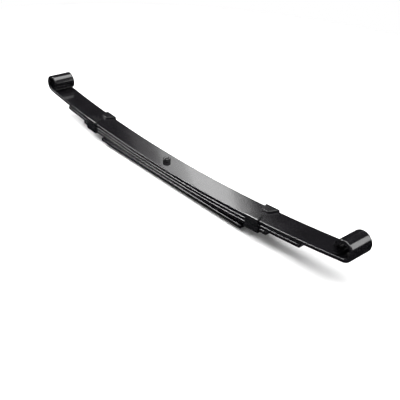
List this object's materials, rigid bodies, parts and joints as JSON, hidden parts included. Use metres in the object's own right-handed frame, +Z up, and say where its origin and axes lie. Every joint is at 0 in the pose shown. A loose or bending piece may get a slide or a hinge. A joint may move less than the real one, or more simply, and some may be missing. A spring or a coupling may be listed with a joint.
{
  "type": "leaf spring",
  "caption": "Two-stage multi-leaf suspension spring with rolled eyes, rebound clips, tip pads and a centre bolt, painted gloss black.",
  "frame": {"origin": "where the centre bolt's axis meets the underside of the helper leaf, which is the face that rests on the axle", "axes": "+X runs along the spring to the rear eye on the long arm, +Y across the leaves, +Z up through the pack from the helper leaf to the main leaf"},
  "size_m": [0.6861, 0.0436, 0.0777],
  "materials": {
    "spring_paint": "gloss black paint over rolled spring steel",
    "clip_paint": "gloss black paint over bent strap",
    "fastener_paint": "gloss black paint over turned and forged steel",
    "pad_plastic": "satin black moulded plastic"
  },
  "bodies": {
    "clamped_pack": {"main_leaf": "spring_paint", "second_leaf": "spring_paint", "third_leaf": "spring_paint", "helper_leaf": "spring_paint", "centre_bolt": "fastener_paint", "centre_nut": "fastener_paint"},
    "front_arm": {"front_clip": "clip_paint", "front_clip_rivet": "fastener_paint", "front_tip_pad": "pad_plastic"},
    "rear_arm": {"rear_clip": "clip_paint", "rear_clip_rivet": "fastener_paint", "rear_tip_pad": "pad_plastic"}
  },
  "joints": [
    {"name": "rear_arm_flex", "type": "hinge", "parent": "clamped_pack", "child": "rear_arm", "pos_m": [0.105, 0, 0.0149], "axis": [0, 1, 0], "range_deg": [-1.5, 3.6], "stiffness_Nm_per_rad": 770, "deforming": ["main_leaf", "second_leaf", "third_leaf"]},
    {"name": "front_arm_flex", "type": "hinge", "parent": "clamped_pack", "child": "front_arm", "pos_m": [-0.09, 0, 0.0143], "axis": [0, -1, 0], "range_deg": [-1.3, 3.1], "stiffness_Nm_per_rad": 895, "deforming": ["main_leaf", "second_leaf", "third_leaf"]}
  ],
  "couplings": [
    {"joint": "front_arm_flex", "follows": "rear_arm_flex", "ratio": 0.86}
  ]
}
